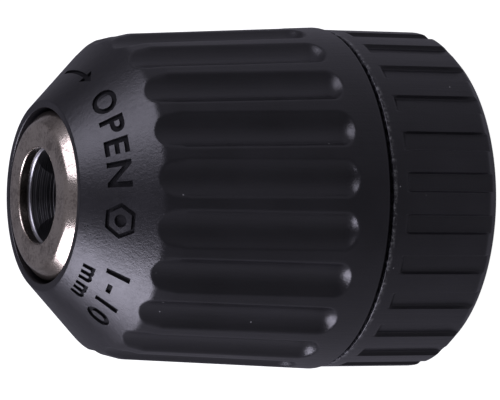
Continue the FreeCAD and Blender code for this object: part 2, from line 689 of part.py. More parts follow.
pieces = [body, nose_ring, front_sleeve, rear_sleeve, back_plate, rear_race, front_race, ball_cage]
pieces += [nut_half_a, nut_half_b, nut_band] + balls + jaws
doc.recompute()
for item in doc.Objects:
    if "Invalid" in item.State or "Error" in item.State:
        raise ValueError(item.Label + " failed")
os.makedirs("parts", exist_ok=True)
for piece in pieces:
    if piece.Shape.isNull() or not piece.Shape.isValid() or len(piece.Shape.Solids) != 1:
        raise ValueError(piece.Label + " is not one valid solid")
    piece.Shape.exportStep("parts/%s.step" % piece.Label)
    print("%-14s %9.2f mm3" % (piece.Label, piece.Shape.Volume))
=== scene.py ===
import json
import math

import bmesh
import bpy
from mathutils import Matrix, Vector


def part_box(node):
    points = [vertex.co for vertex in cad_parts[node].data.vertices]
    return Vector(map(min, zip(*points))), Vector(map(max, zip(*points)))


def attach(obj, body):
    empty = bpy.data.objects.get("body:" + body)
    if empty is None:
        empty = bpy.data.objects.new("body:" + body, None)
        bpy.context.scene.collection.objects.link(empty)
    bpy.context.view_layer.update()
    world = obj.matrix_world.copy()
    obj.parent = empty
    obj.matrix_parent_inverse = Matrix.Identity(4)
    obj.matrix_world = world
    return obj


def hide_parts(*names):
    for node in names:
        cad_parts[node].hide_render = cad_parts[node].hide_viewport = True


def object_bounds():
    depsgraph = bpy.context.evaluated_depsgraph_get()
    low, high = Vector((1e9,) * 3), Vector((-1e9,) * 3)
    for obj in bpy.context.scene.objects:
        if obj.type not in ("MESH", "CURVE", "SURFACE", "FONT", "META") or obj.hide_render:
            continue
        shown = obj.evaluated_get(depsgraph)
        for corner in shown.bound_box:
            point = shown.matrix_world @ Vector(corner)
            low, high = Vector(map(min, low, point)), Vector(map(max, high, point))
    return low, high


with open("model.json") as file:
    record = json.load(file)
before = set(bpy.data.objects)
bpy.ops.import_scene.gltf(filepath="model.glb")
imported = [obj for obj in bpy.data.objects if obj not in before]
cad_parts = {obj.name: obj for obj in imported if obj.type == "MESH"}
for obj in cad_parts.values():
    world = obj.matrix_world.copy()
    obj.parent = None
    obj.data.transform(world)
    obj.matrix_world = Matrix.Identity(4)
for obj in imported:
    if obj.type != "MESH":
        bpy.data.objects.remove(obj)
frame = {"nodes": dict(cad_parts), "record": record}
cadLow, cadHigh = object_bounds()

# Sizes of pieces are in millimetres. Meshes, finishes, floor and lights are in metres, and a grain's scale
# is in waves to the metre.
mm = 0.001
nodes = frame["nodes"]
print("stage: frame loaded with", len(nodes), "parts")


def lowest(node):
    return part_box(node)[0].z / mm


def highest(node):
    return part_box(node)[1].z / mm


def widest(node):
    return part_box(node)[1].x / mm


# Helpers that build a material's nodes.
def newMaterial(name):
    material = bpy.data.materials.new(name)
    material.use_nodes = True
    tree = material.node_tree
    shader = tree.nodes["Principled BSDF"]
    coords = tree.nodes.new("ShaderNodeTexCoord")
    return material, tree, shader, coords.outputs["Object"]


def addNode(tree, kind, links=(), **settings):
    node = tree.nodes.new(kind)
    for key, value in settings.items():
        if key in node.inputs:
            node.inputs[key].default_value = value
        else:
            setattr(node, key, value)
    for socket, source in links:
        tree.links.new(source, node.inputs[socket])
    return node


def stretched(tree, source, scale):
    return addNode(tree, "ShaderNodeMapping", [("Vector", source)], Scale=scale).outputs["Vector"]


def noiseOf(tree, source, scale, detail, roughness):
    node = addNode(tree, "ShaderNodeTexNoise", [("Vector", source)],
                   Scale=scale, Detail=detail, Roughness=roughness)
    return node.outputs["Fac"]


def rampOf(tree, source, stops):
    node = addNode(tree, "ShaderNodeValToRGB", [("Fac", source)])
    ramp = node.color_ramp
    while len(ramp.elements) < len(stops):
        ramp.elements.new(0.5)
    for element, (place, colour) in zip(ramp.elements, stops):
        element.position = place
        element.color = (*colour, 1.0)
    return node.outputs["Color"]


def spread(tree, source, low, high, fromLow=0.0, fromHigh=1.0):
    node = addNode(tree, "ShaderNodeMapRange", [("Value", source)])
    node.inputs["From Min"].default_value = fromLow
    node.inputs["From Max"].default_value = fromHigh
    node.inputs["To Min"].default_value = low
    node.inputs["To Max"].default_value = high
    return node.outputs["Result"]


def summed(tree, first, second, share):
    # The first value, plus a share of the second.
    node = addNode(tree, "ShaderNodeMath", [(0, second), (2, first)], operation="MULTIPLY_ADD")
    node.inputs[1].default_value = share
    return node.outputs["Value"]


def paired(tree, first, second, how):
    node = addNode(tree, "ShaderNodeMath", [(0, first), (1, second)], operation=how)
    return node.outputs["Value"]


def bumped(tree, shader, height, distance):
    bump = addNode(tree, "ShaderNodeBump", [("Height", height)], Distance=distance)
    tree.links.new(bump.outputs["Normal"], shader.inputs["Normal"])


plasticLook = {
    "dark": (0.0020, 0.0019, 0.0026),
    "light": (0.0050, 0.0047, 0.0066),
    "grain": 5200.0,
    "cloud": 90.0,
    "drawn": (2600.0, 2600.0, 55.0),
    "rough": (0.25, 0.42),
    "grainHeight": 0.000022,
    "drawnHeight": 0.000022,
    "speckSize": 700.0,
    "speckReach": (0.03, 0.075),
    "speckShare": 0.07,
    # The pale colour serves the specks and the band at a worn edge, which is scuffing and a painted
    # highlight.
    "speckAndHighlightColour": (0.16, 0.16, 0.17, 1.0),
    "wearAndHighlightWidth": 0.5,
    "wearAndHighlightSize": 2600.0,
    "wearAndHighlightShare": 0.7,
    "wearAndHighlightFlakes": (0.48, 0.66),
    "ior": 1.53,
    # The darker colour in the marks' floors is painted shade in their recesses.
    "sunkPaintedShade": (0.0015, 0.0014, 0.0019),
    "sunkGrain": 2600.0,
    "sunkHeight": 0.00008,
    "sunkRough": (0.72, 0.9),
}


def blackPlastic(name, wearAndHighlightEdge=None):
    # Moulded nylon: a fine grain, faint drawn lines along the axis and small pale specks. The edge at the
    # given height, where one is given, is pale in patches: scuffing, and a painted highlight along that
    # edge.
    look = plasticLook
    material, tree, shader, place = newMaterial(name)
    cloud = noiseOf(tree, place, look["cloud"], 6.0, 0.65)
    grain = noiseOf(tree, place, look["grain"], 3.0, 0.7)
    drawn = noiseOf(tree, stretched(tree, place, look["drawn"]), 1.0, 3.0, 0.6)
    tone = rampOf(tree, cloud, [(0.3, look["dark"]), (0.72, look["light"])])
    speckCells = addNode(tree, "ShaderNodeTexVoronoi", [("Vector", place)], Scale=look["speckSize"])
    speckRound = spread(tree, speckCells.outputs["Distance"], 1.0, 0.0, *look["speckReach"])
    chosen = addNode(tree, "ShaderNodeSeparateColor", [("Color", speckCells.outputs["Color"])])
    usual = 1.0 - look["speckShare"]
    rare = spread(tree, chosen.outputs["Red"], 0.0, 1.0, usual - 0.01, usual)
    pale = paired(tree, speckRound, rare, "MULTIPLY")
    # Pale patches rising towards the edge: scuffing, and a painted highlight along the edge.
    if wearAndHighlightEdge:
        along = addNode(tree, "ShaderNodeSeparateXYZ", [("Vector", place)]).outputs["Z"]
        start = wearAndHighlightEdge - look["wearAndHighlightWidth"]
        near = spread(tree, along, 0.0, look["wearAndHighlightShare"], start * mm, wearAndHighlightEdge * mm)
        scuffAndHighlight = noiseOf(tree, place, look["wearAndHighlightSize"], 3.0, 0.7)
        scuffAndHighlightFlakes = spread(tree, scuffAndHighlight, 0.0, 1.0, *look["wearAndHighlightFlakes"])
        pale = paired(tree, pale, paired(tree, near, scuffAndHighlightFlakes, "MULTIPLY"), "MAXIMUM")
    colour = addNode(tree, "ShaderNodeMix", data_type="RGBA")
    tree.links.new(pale, colour.inputs["Factor"])
    tree.links.new(tone, colour.inputs["A"])
    colour.inputs["B"].default_value = look["speckAndHighlightColour"]
    tree.links.new(colour.outputs["Result"], shader.inputs["Base Color"])
    patchy = summed(tree, cloud, drawn, 0.5)
    tree.links.new(spread(tree, patchy, *look["rough"], 0.45, 1.0), shader.inputs["Roughness"])
    height = summed(tree, grain, drawn, look["drawnHeight"] / look["grainHeight"])
    bumped(tree, shader, height, look["grainHeight"])
    shader.inputs["IOR"].default_value = look["ior"]
    return material


def shadedSunkPlastic():
    # The same plastic with a coarse matt texture, as left in the bottom of moulded marks, and a darker
    # colour that is painted shade in the marks' recesses.
    look = plasticLook
    material, tree, shader, place = newMaterial("shadedSunkPlastic")
    coarse = noiseOf(tree, place, look["sunkGrain"], 4.0, 0.7)
    tone = rampOf(tree, coarse, [(0.35, look["sunkPaintedShade"]), (0.7, look["light"])])
    tree.links.new(tone, shader.inputs["Base Color"])
    tree.links.new(spread(tree, coarse, *look["sunkRough"]), shader.inputs["Roughness"])
    bumped(tree, shader, coarse, look["sunkHeight"])
    shader.inputs["Specular IOR Level"].default_value = 0.3
    return material


steelLooks = {
    "polishedSteel": {"colour": (0.58, 0.52, 0.44), "shade": (0.22, 0.185, 0.155), "rough": (0.12, 0.27),
                      "turned": 0.3, "pit": 2.2, "pitSize": 3500.0, "bored": 0.0},
    "machinedSteel": {"colour": (0.40, 0.40, 0.405), "shade": (0.20, 0.20, 0.205), "rough": (0.26, 0.42),
                      "turned": 1.0, "pit": 0.3, "pitSize": 7000.0, "bored": 26.0},
    "hardenedSteel": {"colour": (0.27, 0.27, 0.275), "shade": (0.15, 0.148, 0.145), "rough": (0.24, 0.40),
                      "turned": 0.5, "pit": 0.5, "pitSize": 7000.0, "bored": 0.0},
    "platedSteel": {"colour": (0.60, 0.60, 0.57), "shade": (0.42, 0.43, 0.43), "rough": (0.22, 0.36),
                    "turned": 0.6, "pit": 0.4, "pitSize": 7000.0, "bored": 0.0},
    "bearingSteel": {"colour": (0.66, 0.66, 0.67), "shade": (0.50, 0.50, 0.51), "rough": (0.06, 0.14),
                     "turned": 0.1, "pit": 0.1, "pitSize": 7000.0, "bored": 0.0},
    "cageBrass": {"colour": (0.66, 0.47, 0.20), "shade": (0.42, 0.28, 0.11), "rough": (0.24, 0.38),
                  "turned": 0.3, "pit": 0.4, "pitSize": 7000.0, "bored": 0.0},
}
toolMarks = {
    "ringScale": (9000.0, 1.0, 9000.0),
    "boredScale": (1.0, 1.0, 3300.0),
    "patch": 240.0,
    "pitTone": 0.4,
    "toneReach": 0.2,
    "height": 0.000006,
}


def turnedMetal(name):
    # Metal with rings left by the lathe about Z, small pits and darker oily patches. The "bored" rings are
    # coarser ones that lie on walls along Z only, as a boring tool leaves them.
    look = steelLooks[name]
    material, tree, shader, place = newMaterial(name)
    parts = addNode(tree, "ShaderNodeSeparateXYZ", [("Vector", place)])
    flat = addNode(tree, "ShaderNodeCombineXYZ")
    tree.links.new(parts.outputs["X"], flat.inputs["X"])
    tree.links.new(parts.outputs["Y"], flat.inputs["Y"])
    radius = addNode(tree, "ShaderNodeVectorMath", [(0, flat.outputs["Vector"])], operation="LENGTH")
    lathe = addNode(tree, "ShaderNodeCombineXYZ")
    tree.links.new(radius.outputs["Value"], lathe.inputs["X"])
    tree.links.new(parts.outputs["Z"], lathe.inputs["Z"])
    rings = noiseOf(tree, stretched(tree, lathe.outputs["Vector"], toolMarks["ringScale"]), 1.0, 3.0, 0.7)
    patch = noiseOf(tree, place, toolMarks["patch"], 6.0, 0.6)
    pits = noiseOf(tree, place, look["pitSize"], 3.0, 0.75)
    pitShare = look["pit"] * toolMarks["pitTone"]
    mottled = summed(tree, patch, pits, pitShare)
    usual = (1.0 + pitShare) / 2
    low = usual - toolMarks["toneReach"]
    high = usual + toolMarks["toneReach"]
    smooth, coarse = look["rough"]
    tone = rampOf(tree, mottled, [(low, look["shade"]), (high, look["colour"])])
    tree.links.new(tone, shader.inputs["Base Color"])
    tree.links.new(spread(tree, mottled, coarse, smooth, low, high), shader.inputs["Roughness"])
    height = summed(tree, spread(tree, rings, 0.0, look["turned"]), pits, look["pit"])
    if look["bored"]:
        steps = stretched(tree, lathe.outputs["Vector"], toolMarks["boredScale"])
        height = summed(tree, height, noiseOf(tree, steps, 1.0, 1.0, 0.5), look["bored"])
    bumped(tree, shader, height, toolMarks["height"])
    shader.inputs["Metallic"].default_value = 1.0
    return material


materials = {name: turnedMetal(name) for name in steelLooks}
materials["blackPlastic"] = blackPlastic("blackPlastic")
# The rear sleeve's plastic: its front edge is pale in patches, scuffing and a painted highlight.
materials["wornAndHighlitPlastic"] = blackPlastic("wornAndHighlitPlastic", highest("rear_sleeve"))
materials["shadedSunkPlastic"] = shadedSunkPlastic()
print("stage: materials made")


# Turned shapes are closed outlines of (radius, height) points, swung round Z.
def rounded(corners, step=12.0):
    # Closed outline with its corners rounded. A corner is (radius, height) or (radius, height, rounding),
    # and an arc has a point about every step degrees.
    outline = []
    count = len(corners)
    for number, corner in enumerate(corners):
        here = Vector(corner[:2])
        if len(corner) < 3:
            outline.append(here)
            continue
        back = (Vector(corners[number - 1][:2]) - here).normalized()
        ahead = (Vector(corners[(number + 1) % count][:2]) - here).normalized()
        half = back.angle(ahead) / 2
        centre = here + (back + ahead).normalized() * corner[2] / math.sin(half)
        start = here + back * corner[2] / math.tan(half) - centre
        end = here + ahead * corner[2] / math.tan(half) - centre
        turn = math.atan2(start.x * end.y - start.y * end.x, start.dot(end))
        pieces = max(2, round(abs(math.degrees(turn)) / step))
        for piece in range(pieces + 1):
            angle = turn * piece / pieces
            outline.append(centre + Matrix.Rotation(angle, 2) @ start)
    return outline


def filled(outline, spacing):
    # Adds points along the outline, as far apart as spacing(point) says there.
    points = []
    for here, ahead in zip(outline, outline[1:] + outline[:1]):
        gap = (ahead - here).length
        place = 0.0
        step = 0.0
        while place == 0.0 or gap - place > step / 3:
            points.append(here.lerp(ahead, place / gap))
            step = spacing(points[-1])
            place += step
    return points


def smoothLow(first, second, blend):
    # The lower of two heights, with the corner between them rounded.
    share = max(blend - abs(first - second), 0.0) / blend
    return min(first, second) - share * share * blend / 4


def smoothStep(share):
    share = min(max(share, 0.0), 1.0)
    return share * share * (3 - 2 * share)


def sectorMesh(name, outline, count, shares, shape=None, inside=0.0):
    # One sector of a turned piece. Its columns lie at the given shares of its width, and the shape
    # function gives the points that lie further out than inside their new radius.
    width = 2 * math.pi / count
    mesh = bmesh.new()
    rows = []
    for share in shares:
        angle = width * share
        row = []
        for radius, height in outline:
            if shape and radius > inside:
                radius = shape(angle, radius, height)
            spot = Vector((radius * math.cos(angle), radius * math.sin(angle), height))
            row.append(mesh.verts.new(spot * mm))
        rows.append(row)
    for row, following in zip(rows, rows[1:]):
        for number in range(len(row)):
            upper = (number + 1) % len(row)
            mesh.faces.new((row[number], following[number], following[upper], row[upper]))
    data = bpy.data.meshes.new(name)
    bmesh.ops.recalc_face_normals(mesh, faces=mesh.faces)
    mesh.to_mesh(data)
    mesh.free()
    piece = bpy.data.objects.new(name, data)
    bpy.context.scene.collection.objects.link(piece)
    return piece


def repeatTree():
    # Geometry Nodes: copies of the piece round Z, made one mesh, with its seams joined.
    tree = bpy.data.node_groups.new("repeatRound", "GeometryNodeTree")
    tree.is_modifier = True
    for name, kind in (("Geometry", "NodeSocketGeometry"), ("Count", "NodeSocketInt"),
                       ("First Angle", "NodeSocketFloat"), ("Seam", "NodeSocketFloat"),
                       ("Material", "NodeSocketMaterial")):
        tree.interface.new_socket(name, in_out="INPUT", socket_type=kind)
    tree.interface.new_socket("Geometry", in_out="OUTPUT", socket_type="NodeSocketGeometry")
    given = tree.nodes.new("NodeGroupInput").outputs
    result = tree.nodes.new("NodeGroupOutput").inputs
    points = addNode(tree, "GeometryNodePoints", [("Count", given["Count"])])
    share = addNode(tree, "ShaderNodeMath", [(1, given["Count"])], operation="DIVIDE")
    share.inputs[0].default_value = 2 * math.pi
    index = addNode(tree, "GeometryNodeInputIndex")
    angle = addNode(tree, "ShaderNodeMath", [(0, index.outputs["Index"]), (1, share.outputs[0]),
                                             (2, given["First Angle"])], operation="MULTIPLY_ADD")
    turn = addNode(tree, "ShaderNodeCombineXYZ", [("Z", angle.outputs[0])])
    copies = addNode(tree, "GeometryNodeInstanceOnPoints",
                     [("Points", points.outputs[0]), ("Instance", given["Geometry"]),
                      ("Rotation", turn.outputs[0])])
    solid = addNode(tree, "GeometryNodeRealizeInstances", [("Geometry", copies.outputs[0])])
    joined = addNode(tree, "GeometryNodeMergeByDistance",
                     [("Geometry", solid.outputs[0]), ("Distance", given["Seam"])])
    smooth = addNode(tree, "GeometryNodeSetShadeSmooth", [("Geometry", joined.outputs[0])])
    painted = addNode(tree, "GeometryNodeSetMaterial",
                      [("Geometry", smooth.outputs[0]), ("Material", given["Material"])])
    tree.links.new(painted.outputs[0], result["Geometry"])
    return tree


def keepResult(piece, modifier):
    # The modifier's result becomes the piece's plain mesh.
    graph = bpy.context.evaluated_depsgraph_get()
    data = bpy.data.meshes.new_from_object(piece.evaluated_get(graph))
    piece.modifiers.remove(modifier)
    old = piece.data
    piece.data = data
    data.name = piece.name
    bpy.data.meshes.remove(old)


def paint(piece, material):
    piece.data.materials.clear()
    piece.data.materials.append(material)
    piece.data.polygons.foreach_set("material_index", [0] * len(piece.data.polygons))


def applyTree(piece, tree, values):
    # Runs a Geometry Nodes tree on the piece and keeps the result as its plain mesh.
    modifier = piece.modifiers.new(tree.name, "NODES")
    modifier.node_group = tree
    for item in tree.interface.items_tree:
        if item.in_out == "INPUT" and item.name in values:
            modifier[item.identifier] = values[item.name]
    keepResult(piece, modifier)
    paint(piece, values["Material"])
    return piece


sharpAngle = math.radians(62.0)
seamReach = 1e-6  # points of two sectors this near to each other are one
roundTree = repeatTree()


def finishMesh(piece):
    piece.data.shade_smooth()
    piece.data.set_sharp_from_angle(angle=sharpAngle)


def turnedPiece(name, outline, material, count, shares, shape=None, inside=0.0, firstAngle=0.0):
    piece = sectorMesh(name, outline, count, shares, shape, inside)
    applyTree(piece, roundTree, {"Count": count, "First Angle": math.radians(firstAngle),
                                 "Seam": seamReach, "Material": materials[material]})
    finishMesh(piece)
    return piece


def combine(piece, tool, how):
    # Boolean of two closed pieces; the tool is used up.
    modifier = piece.modifiers.new("combine", "BOOLEAN")
    modifier.operation = how
    modifier.solver = "EXACT"
    modifier.material_mode = "TRANSFER"
    modifier.object = tool
    keepResult(piece, modifier)
    bpy.data.objects.remove(tool)
    finishMesh(piece)


# The front sleeve: a collar behind, a fluted grip, a shoulder and a cone, with a lip that reaches into the
# rear sleeve.
sleeveFit = {
    "rear": lowest("front_sleeve") + 1.55,
    "front": highest("front_sleeve"),
    "lipRear": lowest("front_sleeve"),
    "lipWall": 0.7,
    "radius": widest("front_sleeve"),
    "edgeIn": 0.55,
    "collarRise": 0.45,
    "taper": 1.33,
    "shoulderFall": 0.59,
    "shoulderRun": 2.27,
    "cone": 6.82,
    "coneWidth": 6.75,
    "bore": widest("body") + 0.3,
    "mouth": widest("nose_ring") - 1.24,
    "flangeRoom": widest("nose_ring") + 0.4,
    "flangeFront": highest("nose_ring") - 6.52,
    "seat": widest("nut_band"),
    "seatStep": 0.6,
    "seatFront": highest("nut_band") + 0.2,
    "seatRear": lowest("nut_band"),
    "hollow": 3.1,
    "edgeRound": 0.15,
    "collarRound": 0.45,
    "gripRound": 3.0,
    "coneRound": 1.8,
    "noseRound": 0.25,
    "flutes": 21,
    "fluteTurn": 6.3,
}
coneRear = sleeveFit["front"] - sleeveFit["cone"]
gripFront = coneRear - sleeveFit["shoulderRun"]
gripRadius = sleeveFit["radius"] - sleeveFit["taper"]
coneRadius = gripRadius - sleeveFit["shoulderFall"]
noseRadius = coneRadius - sleeveFit["coneWidth"]
collarHeight = sleeveFit["rear"] + sleeveFit["collarRise"]


def sleeveOutline(fit):
    lipRadius = fit["bore"] + fit["lipWall"]
    stepRadius = fit["seat"] - fit["seatStep"]
    return rounded([
        (fit["bore"], fit["lipRear"]),
        (lipRadius, fit["lipRear"], fit["edgeRound"]),
        (lipRadius, fit["rear"]),
        (fit["radius"] - fit["edgeIn"], fit["rear"], fit["edgeRound"]),
        (fit["radius"], collarHeight, fit["collarRound"]),
        (gripRadius, gripFront, fit["gripRound"]),
        (coneRadius, coneRear, fit["coneRound"]),
        (noseRadius, fit["front"], fit["noseRound"]),
        (fit["mouth"], fit["front"], fit["edgeRound"]),
        (fit["mouth"], fit["flangeFront"]),
        (fit["flangeRoom"], fit["flangeFront"]),
        (stepRadius, fit["seatFront"] + fit["hollow"]),
        (stepRadius, fit["seatFront"]),
        (fit["seat"], fit["seatFront"]),
        (fit["seat"], fit["seatRear"]),
        (fit["bore"], fit["seatRear"]),
    ])


def sleeveSpacing(point):
    # Close together where flutes start and end, and wide apart inside.
    if point.x < 14.6:
        return 3.0
    if point.y < 16.4:
        return 1.2
    if point.y < 19.4 or 36.8 < point.y < 42.0:
        return 0.17
    return 1.4


flute = {
    "cutter": 2.8,
    "depth": 0.95,
    "endAhead": 5.3,
    "depthAhead": 5.35,
    "inside": 15.5,
    "blend": 0.13,
    "endSteep": 1.4,
}
gripSlope = math.atan(sleeveFit["taper"] / (gripFront - collarHeight))
fluteEnd = sleeveFit["rear"] + flute["endAhead"]
landRadius = sleeveFit["radius"] - flute["depthAhead"] * math.tan(gripSlope)
cutterRadius = landRadius + flute["cutter"] - flute["depth"]


def flutedRadius(angle, radius, height):
    # The floor that a ball cutter leaves, blended into the sleeve round its edges.
    along = height - fluteEnd
    middle = cutterRadius - max(along, 0.0) * math.tan(gripSlope)
    across = radius * math.sin(angle)
    past = min(along, 0.0) * flute["endSteep"]
    left = flute["cutter"] ** 2 - across ** 2 - past ** 2
    if left <= 0:
        return radius
    lowered = smoothLow(radius * math.cos(angle), middle - math.sqrt(left), flute["blend"])
    return lowered / math.cos(angle)


fluteColumns = [step / 36 - 0.5 for step in range(37)]
frontSleeve = turnedPiece("frontSleeve", filled(sleeveOutline(sleeveFit), sleeveSpacing), "blackPlastic",
                          sleeveFit["flutes"], fluteColumns, flutedRadius, flute["inside"],
                          sleeveFit["fluteTurn"])
print("stage: front sleeve,", len(frontSleeve.data.polygons), "faces")


# Marks sunk into the cone: a word with an arrow, a shank's end, and the range of shanks. A mark's place is
# its angle round the axis and its distance from the cone's front edge.
marks = {
    "depth": 0.3,
    "above": 0.5,
    "letterHeight": 2.7,
    "fontShare": 1.38,
    "unitShare": 0.75,
    "bold": 0.11,
    "spacing": 1.25,
    "signSize": 1.9,
    "signHole": 0.74,
    "signDot": 0.36,
    "arrowLength": 7.0,
    "arrowWidth": 0.5,
    "arrowHead": 1.6,
    "headSpread": 0.55,
    "word": (29.0, 3.2),
    "arrow": (96.0, 4.4),
    "sign": (-11.0, 4.6),
    "unit": (-50.0, 1.6),
    "range": (-50.0, 4.2),
}


def onCone(piece, spot):
    # Wraps a flat closed solid round the cone. Its x runs clockwise and its y away from the nose; its
    # origin comes to spot, which is an angle round the axis and a distance from the cone's front edge.
    turn, along = spot
    front = Vector((noseRadius, sleeveFit["front"]))
    slope = Vector((sleeveFit["coneWidth"], -sleeveFit["cone"])).normalized()
    outward = Vector((-slope.y, slope.x))
    radiusHere = (front + slope * along).x
    for vertex in piece.data.vertices:
        x, y, z = vertex.co / mm
        place = front + slope * (along + y) + outward * z
        angle = math.radians(turn) - x / radiusHere
        vertex.co = Vector((place.x * math.cos(angle), place.x * math.sin(angle), place.y)) * mm
    return piece


def flatSolid(curve, name):
    # The extruded curve or text as a closed mesh piece whose floor is marks["depth"] down.
    curve.extrude = (marks["depth"] + marks["above"]) / 2 * mm
    holder = bpy.data.objects.new(name, curve)
    bpy.context.scene.collection.objects.link(holder)
    graph = bpy.context.evaluated_depsgraph_get()
    data = bpy.data.meshes.new_from_object(holder.evaluated_get(graph))
    bpy.data.objects.remove(holder)
    mesh = bmesh.new()
    mesh.from_mesh(data)
    bmesh.ops.remove_doubles(mesh, verts=mesh.verts, dist=1e-7)
    bmesh.ops.recalc_face_normals(mesh, faces=mesh.faces)
    lift = (marks["above"] - marks["depth"]) / 2 * mm
    bmesh.ops.translate(mesh, verts=mesh.verts, vec=(0, 0, lift))
    mesh.to_mesh(data)
    mesh.free()
    piece = bpy.data.objects.new(name, data)
    bpy.context.scene.collection.objects.link(piece)
    return piece


def wordSolid(text, height):
    curve = bpy.data.curves.new("word", "FONT")
    curve.body = text
    curve.size = height * marks["fontShare"] * mm
    curve.offset = marks["bold"] * mm
    curve.space_character = marks["spacing"]
    curve.align_x = "CENTER"
    curve.resolution_u = 4
    return flatSolid(curve, "word")


def shapeSolid(loops, name):
    # Loops of (x, y) points in millimetres; a loop inside another is a hole.
    curve = bpy.data.curves.new(name, "CURVE")
    curve.dimensions = "2D"
    curve.fill_mode = "BOTH"
    for loop in loops:
        spline = curve.splines.new("POLY")
        spline.points.add(len(loop) - 1)
        for point, (x, y) in zip(spline.points, loop):
            point.co = (x * mm, y * mm, 0, 1)
        spline.use_cyclic_u = True
    return flatSolid(curve, name)


def ringLoop(radius, count):
    angles = [2 * math.pi * step / count for step in range(count)]
    return [(radius * math.cos(angle), radius * math.sin(angle)) for angle in angles]


def arrowLoops(length, width, head):
    # A long arrow that points along x, with points enough on its shaft to bend with the cone.
    steps = 14
    shaft = length - head
    wing = head * marks["headSpread"]
    top = [(shaft * step / steps, width / 2) for step in range(steps + 1)]
    bottom = [(x, -y) for x, y in reversed(top)]
    return [top + [(shaft, wing), (length, 0.0), (shaft, -wing)] + bottom]


def hexSignLoops(size):
    # The end of a hexagonal shank: a hexagon in outline with a round dot in it.
    return [ringLoop(size, 6), ringLoop(size * marks["signHole"], 6), ringLoop(size * marks["signDot"], 20)]


def markCone(sleeve):
    height = marks["letterHeight"]
    arrow = arrowLoops(marks["arrowLength"], marks["arrowWidth"], marks["arrowHead"])
    tools = [
        onCone(wordSolid("OPEN", height), marks["word"]),
        onCone(shapeSolid(arrow, "arrow"), marks["arrow"]),
        onCone(shapeSolid(hexSignLoops(marks["signSize"]), "hexSign"), marks["sign"]),
        onCone(wordSolid("mm", height * marks["unitShare"]), marks["unit"]),
        onCone(wordSolid("1-10", height), marks["range"]),
    ]
    for tool in tools:
        # The marks' floors get the darker plastic: painted shade in the recesses.
        paint(tool, materials["shadedSunkPlastic"])
        combine(sleeve, tool, "DIFFERENCE")


markCone(frontSleeve)
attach(frontSleeve, "turning_sleeve")
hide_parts("front_sleeve")
print("stage: marks cut,", len(frontSleeve.data.polygons), "faces")


# The rear sleeve: a hub, a web with ribs, and a shell with fine grooves.
rearFit = {
    "front": highest("rear_sleeve") + 0.05,
    "radius": widest("rear_sleeve"),
    "taper": 0.07,
    "edge": 0.12,
    "rearFall": 1.31,
    "rearRise": 1.52,
    "shellBore": sleeveFit["bore"] + sleeveFit["lipWall"] + 0.2,
    "web": 3.6,
    "hub": 12.4,
    "hubFront": 9.5,
    "tail": 10.0,
    "plate": widest("back_plate"),
    "plateFront": highest("back_plate"),
    "rimRound": 0.25,
    "heelRound": 0.9,
    "mouthRound": 0.12,
    "webRound": 0.4,
    "hubRound": 0.2,
    "grooves": 26,
    "grooveTurn": 5.5,
    "ribs": 6,
    "ribWidth": 1.4,
    "ribRise": 4.9,
    "ribRoot": 0.5,
}


def rearOutline(fit):
    return rounded([
        (fit["plate"], 0.0),
        (fit["radius"] - fit["rearFall"], 0.0, fit["rimRound"]),
        (fit["radius"], fit["rearRise"], fit["heelRound"]),
        (fit["radius"] - fit["taper"], fit["front"], fit["edge"]),
        (fit["shellBore"], fit["front"], fit["mouthRound"]),
        (fit["shellBore"], fit["web"], fit["webRound"]),
        (fit["hub"], fit["web"], fit["webRound"]),
        (fit["hub"], fit["hubFront"], fit["hubRound"]),
        (fit["tail"], fit["hubFront"]),
        (fit["tail"], fit["plateFront"]),
        (fit["plate"], fit["plateFront"]),
    ])


def rearSpacing(point):
    # Close together where the grooves start and end, and wide apart inside.
    if point.x < groove["inside"]:
        return 4.0
    return 0.3 if point.y > 9.0 or point.y < 2.2 else 1.2


groove = {
    "halfWidth": 1.1,
    "wall": 0.2,
    "depth": 0.5,
    "front": rearFit["front"] - 1.65,
    "frontRun": 0.45,
    "blend": 0.06,
    "inside": 17.1,
}


def groovedRadius(angle, radius, height):
    across = abs(radius * math.sin(angle))
    inward = smoothStep((groove["halfWidth"] - across) / groove["wall"])
    behind = smoothStep((groove["front"] - height) / groove["frontRun"])
    return smoothLow(radius, rearFit["radius"] - groove["depth"] * inward * behind, groove["blend"])


wallColumns = [0.14, 0.165, 0.18, 0.195, 0.21, 0.225, 0.24, 0.255, 0.27, 0.33, 0.4, 0.45, 0.5]
grooveColumns = [-share for share in reversed(wallColumns)] + [-0.07, 0.0, 0.07] + wallColumns
rearSleeve = turnedPiece("rearSleeve", filled(rearOutline(rearFit), rearSpacing), "wornAndHighlitPlastic",
                         rearFit["grooves"], grooveColumns, groovedRadius, groove["inside"],
                         rearFit["grooveTurn"])


def ribSolid(fit):
    # The ribs between hub and shell; each runs ribRoot into the walls that it joins.
    mesh = bmesh.new()
    bmesh.ops.create_cube(mesh, size=1.0)
    root = fit["ribRoot"]
    inner = fit["hub"] - root
    outer = fit["shellBore"] + root
    size = Vector((outer - inner, fit["ribWidth"], fit["ribRise"] + root)) * mm
    centre = Vector(((inner + outer) / 2, 0, fit["web"] + (fit["ribRise"] - root) / 2)) * mm
    placed = Matrix.Translation(centre) @ Matrix.Diagonal((*size, 1))
    bmesh.ops.transform(mesh, matrix=placed, verts=mesh.verts)
    data = bpy.data.meshes.new("ribs")
    mesh.to_mesh(data)
    mesh.free()
    piece = bpy.data.objects.new("ribs", data)
    bpy.context.scene.collection.objects.link(piece)
    return applyTree(piece, roundTree, {"Count": fit["ribs"], "First Angle": 0.0, "Seam": seamReach,
                                        "Material": materials["blackPlastic"]})


combine(rearSleeve, ribSolid(rearFit), "UNION")
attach(rearSleeve, "chuck_body")
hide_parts("rear_sleeve")
print("stage: rear sleeve,", len(rearSleeve.data.polygons), "faces")


